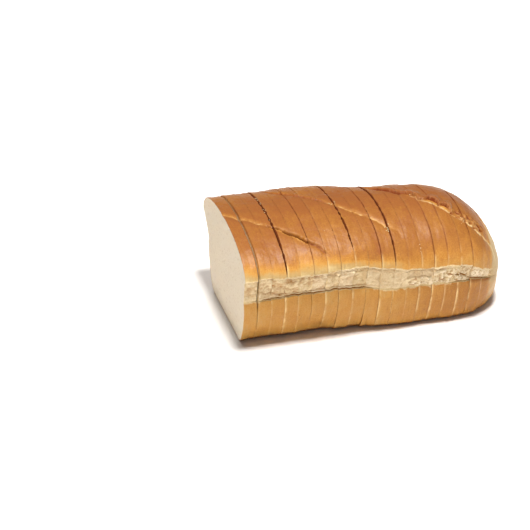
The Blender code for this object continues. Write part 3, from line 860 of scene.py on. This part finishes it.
def ramp(tree, factor, stops):
    made = add(tree, "ValToRGB", {"Fac": factor})
    line = made.color_ramp
    while len(line.elements) < len(stops):
        line.elements.new(0.5)
    for element, (place, colour) in zip(line.elements, stops):
        element.position = place
        element.color = colour
    return made.outputs["Color"]


def maths(tree, operation, first, second, clamp=False):
    return add(tree, "Math", {0: first, 1: second}, operation=operation, use_clamp=clamp).outputs[0]


def plus(tree, first, second, clamp=False):
    return maths(tree, "ADD", first, second, clamp)


def times(tree, first, second, clamp=False):
    return maths(tree, "MULTIPLY", first, second, clamp)


def mixed(tree, factor, first, second):
    """Mix two colours; the node's own colour sockets are numbers 6 and 7."""
    return add(tree, "Mix", {0: factor, 6: first, 7: second}, data_type="RGBA").outputs[2]


def speckle(tree, place, scale, detail, roughness):
    return add(tree, "TexNoise", {"Vector": place, "Scale": scale, "Detail": detail,
                                  "Roughness": roughness}).outputs["Fac"]


def on_piece(tree):
    """Where a point lies on its own piece, in metres."""
    return add(tree, "TexCoord").outputs["Object"]


# The last stop, on the dark crest, is lifted paler and greyer: partly the crest's own brown, partly
# a painted sheen from the light above.
BAKE_STOPS = ((0, tone(199, 176, 127)), (0.12, tone(181, 148, 93)), (0.34, tone(185, 133, 60)),
              (0.54, tone(170, 113, 46)), (0.8, tone(150, 95, 38)), (1, tone(139, 81, 36)))
CRUMB_STOPS = ((0.2, tone(193, 165, 119)), (0.45, tone(207, 183, 138)), (0.8, tone(219, 199, 160)))


# Oven brown: pale gold to chestnut by how long a place was in the heat.
tree, given, result = group_of("oven_brown", Bake=("INPUT", "Float"), Mottle=("INPUT", "Float"),
                               Color=("OUTPUT", "Color"))
place = on_piece(tree)
drawn = add(tree, "VectorMath", {0: place, 1: (1, 0.15, 0.15)}, operation="MULTIPLY")
uneven = 0.0
for weight, where, *grain in ((0.7, place, 90.0, 3.0, 0.55), (2.2, place, 950.0, 4.0, 0.65),
                              (0.8, drawn.outputs[0], 700.0, 3.0, 0.55)):
    spots = plus(tree, speckle(tree, where, *grain), -0.5)
    uneven = plus(tree, uneven, times(tree, spots, weight))
shown = times(tree, given["Bake"], 2.2, clamp=True)
uneven = times(tree, times(tree, uneven, given["Mottle"]), shown)
feed(result, {"Color": ramp(tree, plus(tree, given["Bake"], uneven, clamp=True), BAKE_STOPS)})
OVEN_BROWN = tree

# Open crumb: cream, with a fine grain of pores.
tree, _, result = group_of("open_crumb", Color=("OUTPUT", "Color"), Height=("OUTPUT", "Float"))
place = on_piece(tree)
cells = add(tree, "TexVoronoi", {"Vector": place, "Scale": 900.0}, feature="F1")
grain = speckle(tree, place, 500.0, 4.0, 0.6)
shade = plus(tree, times(tree, grain, 0.5), times(tree, cells.outputs["Distance"], 0.35))
feed(result, {"Color": ramp(tree, shade, CRUMB_STOPS), "Height": shade})
OPEN_CRUMB = tree


def mark(tree, name):
    return add(tree, "Attribute", attribute_name=name).outputs["Fac"]


def blank_material(name):
    """A new material, its node tree and its shader."""
    material = bpy.data.materials.new(name)
    material.use_nodes = True
    return material, material.node_tree, material.node_tree.nodes["Principled BSDF"]


def make_bread(name, crust_roughness, crumb_softness, whitest):
    """Crust where the oven's heat reached, crumb where the loaf tore or was cut, both darkened
    by painted shade in recesses and gaps.
    """
    material, tree, shader = blank_material(name)
    crust = add(tree, "Group", {"Bake": mark(tree, "bake"), "Mottle": 0.36}, node_tree=OVEN_BROWN)
    crumb = add(tree, "Group", node_tree=OPEN_CRUMB)
    # This mark is painted shade: it darkens crust and crumb towards deep brown in cracks, creases,
    # pits, pores, gaps and under flaps.
    crumb_share, hollow = mark(tree, "crumb"), mark(tree, "hollow")
    whitened = mixed(tree, mark(tree, "white"), crumb.outputs["Color"], whitest)
    crumb_in_painted_shade = mixed(tree, hollow, whitened, tone(148, 92, 30))
    crust_in_painted_shade = mixed(tree, hollow, crust.outputs["Color"], tone(108, 42, 0))
    with_painted_shade = mixed(tree, crumb_share, crust_in_painted_shade, crumb_in_painted_shade)
    wear = times(tree, mark(tree, "edge"), maths(tree, "SUBTRACT", 1, crumb_share), clamp=True)
    rough = add(tree, "MapRange", {"Value": crumb_share, "To Min": crust_roughness, "To Max": 0.9})
    skin = speckle(tree, on_piece(tree), 1400.0, 4.0, 0.6)
    height = plus(tree, times(tree, skin, 0.5), times(tree, crumb.outputs["Height"], crumb_share))
    bump = add(tree, "Bump", {"Height": height, "Distance": 0.00045, "Strength": 0.75})
    feed(shader, {
        "Base Color": mixed(tree, times(tree, wear, 0.92), with_painted_shade, tone(228, 196, 138)),
        "Roughness": plus(tree, rough.outputs["Result"], times(tree, hollow, 0.5), clamp=True),
        "Normal": bump.outputs["Normal"], "Specular IOR Level": 0.27,
        "Subsurface Weight": crumb_softness, "Subsurface Radius": (1, 0.6, 0.3),
        "Subsurface Scale": 0.0015})
    return material


CRUST = make_bread("baked_crust", 0.42, 0, tone(232, 217, 192))
CRUMB = make_bread("cut_crumb", 0.6, 0.25, tone(206, 191, 168))
for number in range(SLICE_COUNT):
    cut_slice(number)


# ==== The heel ====================================================================
# The loaf's end crust, cut off by the last knife: a cap of crumb closed all round by
# crust, where the torn bands heal over into one pale, smooth nose.
HEEL_STATIONS = 46

reach = LOAF_END_X - HEEL_X
start = math.asin(EDGE_STATIONS[-1] / reach)
turn = np.linspace(start, 0.5 * math.pi, HEEL_STATIONS, endpoint=False)
place = np.concatenate([EDGE_STATIONS[:-1], reach * np.sin(turn)])
shaped, marks = dress(sections(HEEL_X + place, STEPS[-1]), SLICE_COUNT, place, 2.0 * reach)
shift, gap = cut_plane(SLICE_COUNT, shaped)
fade = (1 - place / reach)[:, None]
shaped[..., 0] += mix(HEEL_LEAN * shaped[..., 2] / LOAF_HEIGHT, shift + gap, fade)
tip = [LOAF_END_X + HEEL_LEAN * NOSE_Z / LOAF_HEIGHT, shaped[-1, :, 1].mean(), NOSE_Z]
nose = close_ring([tip], {title: [values[-1].mean()] for title, values in marks.items()},
                  -1, marks["bake"].size, 0, 0)
face = cut_face(shaped, marks, SLICE_COUNT, gap, 1, 0, HEEL_RIND)
face.marks["white"][:] = 0.0
piece = lay_mesh("bread_heel", shaped, marks, (nose, face))
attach(piece, "root")
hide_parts("heel")


# ==== Loose crumbs ================================================================
# Crumbs of soft white bread that the slicer's blades left clinging to the dome, mostly
# where a cut crosses a score. Small uneven lumps half sunk in the crust, in one mesh.
# Each place: x along the loaf, y from and to, how far they stray in x, and how many.
CRUMB_PLACES = ((-0.0845, 0.034, -0.03, 0.0007, 14), (-0.0252, -0.002, -0.012, 0.0014, 6),
                (0.0104, -0.042, -0.052, 0.0016, 12), (0.0341, -0.06, -0.067, 0.0002, 7),
                (0.042, -0.003, -0.012, 0.004, 9), (0.082, -0.036, -0.047, 0.004, 8),
                (0.02, -0.02, -0.06, 0.015, 3), (-0.06, 0, -0.06, 0.02, 3))
CRUMB_RADII = (0.00022, 0.0005)

material, tree, shader = blank_material("loose_crumb")
crumb = add(tree, "Group", node_tree=OPEN_CRUMB)
feed(shader, {"Base Color": crumb.outputs["Color"], "Roughness": 0.9})

lumps = bmesh.new()
for x, first_y, last_y, stray, count in CRUMB_PLACES:
    for _ in range(count):
        at_x, at_y = x + rng.gauss(0, stray), rng.uniform(first_y, last_y)
        height = float(dome_height(np.array(at_x), np.array(at_y)))
        lean = LEANS[int((at_x - CUT_FACE_X) / SLICE_PITCH)] * height / LOAF_HEIGHT
        place = Vector((at_x + lean, at_y, height)) + Vector(SHIFT)
        size = Vector([rng.uniform(*CRUMB_RADII) for _ in range(3)])
        turn = Euler([rng.uniform(0, math.pi) for _ in range(3)])
        bmesh.ops.create_icosphere(lumps, subdivisions=2, radius=1.0,
                                   matrix=Matrix.LocRotScale(place, turn, size))
for vertex in lumps.verts:
    vertex.co += Vector([rng.gauss(0, 0.00003) for _ in range(3)])
mesh = bpy.data.meshes.new("bread_loose_crumbs")
lumps.to_mesh(mesh)
lumps.free()
mesh.shade_smooth()
mesh.materials.append(material)
crumbs = put_in_scene("bread_loose_crumbs", mesh)
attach(crumbs, "root")


# ==== Table, light and camera =====================================================
# A plain white table top under soft studio light, seen from the photograph's angle.
TABLE_SIZE, TABLE_DROP = 8.0, 0.0002
CAMERA_AZIMUTH, CAMERA_ELEVATION = math.radians(-15.538), math.radians(27.797)
CAMERA_DISTANCE = 1.4
CAMERA_LENS = 108.41
AIM = (-0.084147, 0, 0.045643)                 # at the picture's middle, in the loaf's place
LOAF_MIDDLE = (0, 0, 0.05)

half = 0.5 * TABLE_SIZE
mesh = bpy.data.meshes.new("table_top")
mesh.from_pydata([(-half, -half, 0), (half, -half, 0), (half, half, 0), (-half, half, 0)], [],
                 [(0, 1, 2, 3)])
floor = put_in_scene("table_top", mesh)
floor.location.z = -TABLE_DROP
material, _, shader = blank_material("white_table")
feed(shader, {"Base Color": (0.96, 0.93, 0.9, 1), "Roughness": 0.8, "Specular IOR Level": 0.1})
mesh.materials.append(material)
table = bpy.data.collections.new("table")
table.objects.link(floor)
bread = bpy.data.collections.new("bread")
for body in bpy.context.scene.collection.objects:
    if body.name.startswith("bread_"):
        bread.objects.link(body)
# Each softbox: place, size, power and what it lights; then its aim and spread where it
# doesn't shine wide on the loaf.
for name, place, size, power, lit, *turned in (
        ("above", (-0.1, -0.28, 1.48), 0.24, 29.0, bread),
        ("over_table", (0.02, -0.25, 1.48), 0.24, 29.0, table),
        ("front", (-1.0, -1.0, 0.9), 0.8, 14.0, bread),
        ("side", (1.1, -0.9, 0.7), 0.8, 4.0, bread),
        ("back", (0.3, 2.3, 1.6), 2.0, 60.0, table, (0.4, 2.0, 0), math.pi),
        ("right", (1.6, -1.7, 1.6), 1.2, 55.0, table, (1.68, -1.785, 0), 1.55),
        ("left", (-2.3, 0, 1.6), 1.2, 55.0, table, (-2.415, 0, 0), 1.55)):
    aim, spread = turned or (LOAF_MIDDLE, math.pi)
    light = bpy.data.lights.new("softbox_" + name, "AREA")
    light.shape, light.size, light.energy, light.spread = "SQUARE", size, power, spread
    lamp = put_in_scene("softbox_" + name, light)
    lamp.location = place
    lamp.rotation_euler = (Vector(aim) - Vector(place)).to_track_quat("-Z", "Y").to_euler()
    lamp.light_linking.receiver_collection = lit
world = bpy.data.worlds.new("studio")
world.use_nodes = True
feed(world.node_tree.nodes["Background"], {"Color": (1, 1, 1, 1), "Strength": 0.17})
bpy.context.scene.world = world
bpy.context.scene.view_settings.view_transform = "Standard"

camera_data = bpy.data.cameras.new("camera")
camera_data.lens = CAMERA_LENS
camera = put_in_scene("camera", camera_data)
toward = Vector((math.sin(CAMERA_AZIMUTH) * math.cos(CAMERA_ELEVATION),
                 -math.cos(CAMERA_AZIMUTH) * math.cos(CAMERA_ELEVATION),
                 math.sin(CAMERA_ELEVATION)))
camera.location = Vector(AIM) + Vector(SHIFT) + CAMERA_DISTANCE * toward
camera.rotation_mode = "QUATERNION"
camera.rotation_quaternion = (-toward).to_track_quat("-Z", "Y")
bpy.context.scene.camera = camera
